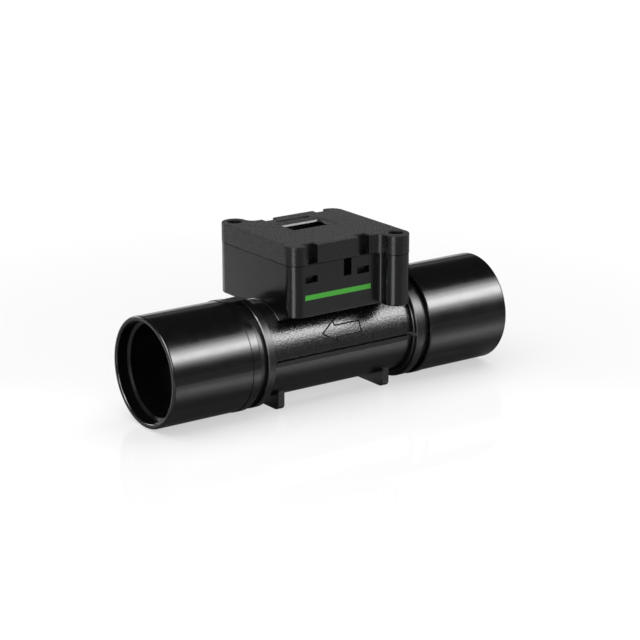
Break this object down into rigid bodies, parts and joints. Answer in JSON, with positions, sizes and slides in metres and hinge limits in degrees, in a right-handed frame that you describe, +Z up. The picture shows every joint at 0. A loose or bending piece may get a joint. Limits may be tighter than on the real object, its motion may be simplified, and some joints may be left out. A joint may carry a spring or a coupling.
{
  "type": "mass flow meter",
  "caption": "Inline gas flow meter: a flow tube with push-on end sleeves, feet and a clipped sensor housing with a plug socket under its lid.",
  "frame": {"origin": "on the surface that the feet stand on, under the middle of the flow tube", "axes": "+X along the flow tube towards the inlet sleeve, against the flow arrow; +Y across the tube towards the side away from the arrow; +Z up through the housing's lid"},
  "size_m": [0.0808, 0.0308, 0.0339],
  "materials": {
    "body_plastic": "moulded black, finely grained",
    "lid_plastic": "moulded black, finely grained",
    "sleeve_plastic": "moulded black, glossy",
    "seal_rubber": "black, satin",
    "screen_plastic": "moulded black mesh",
    "spacer_plastic": "moulded black",
    "element_plastic": "moulded natural white",
    "carrier_plastic": "moulded dark grey",
    "chip_silicon": "polished grey",
    "board_laminate": "green laminate, satin",
    "package_plastic": "moulded black",
    "capacitor_ceramic": "tan, satin",
    "resistor_ceramic": "black, satin",
    "socket_plastic": "moulded black",
    "pin_metal": "plated, satin"
  },
  "bodies": {
    "root": {"flow_body": "body_plastic", "housing_lid": "lid_plastic", "inlet_sleeve": "sleeve_plastic", "outlet_sleeve": "sleeve_plastic", "inlet_seal_ring": "seal_rubber", "outlet_seal_ring": "seal_rubber", "inlet_screen": "screen_plastic", "outlet_screen": "screen_plastic", "inlet_screen_spacer": "spacer_plastic", "outlet_screen_spacer": "spacer_plastic", "laminar_element": "element_plastic", "port_gasket": "seal_rubber", "channel_carrier": "carrier_plastic", "sensor_chip": "chip_silicon", "circuit_board": "board_laminate", "socket_shell": "socket_plastic", "socket_pins": "pin_metal", "signal_processor": "package_plastic", "voltage_regulator": "package_plastic", "memory_chip": "package_plastic", "ceramic_capacitors": "capacitor_ceramic", "chip_resistors": "resistor_ceramic"}
  },
  "joints": []
}
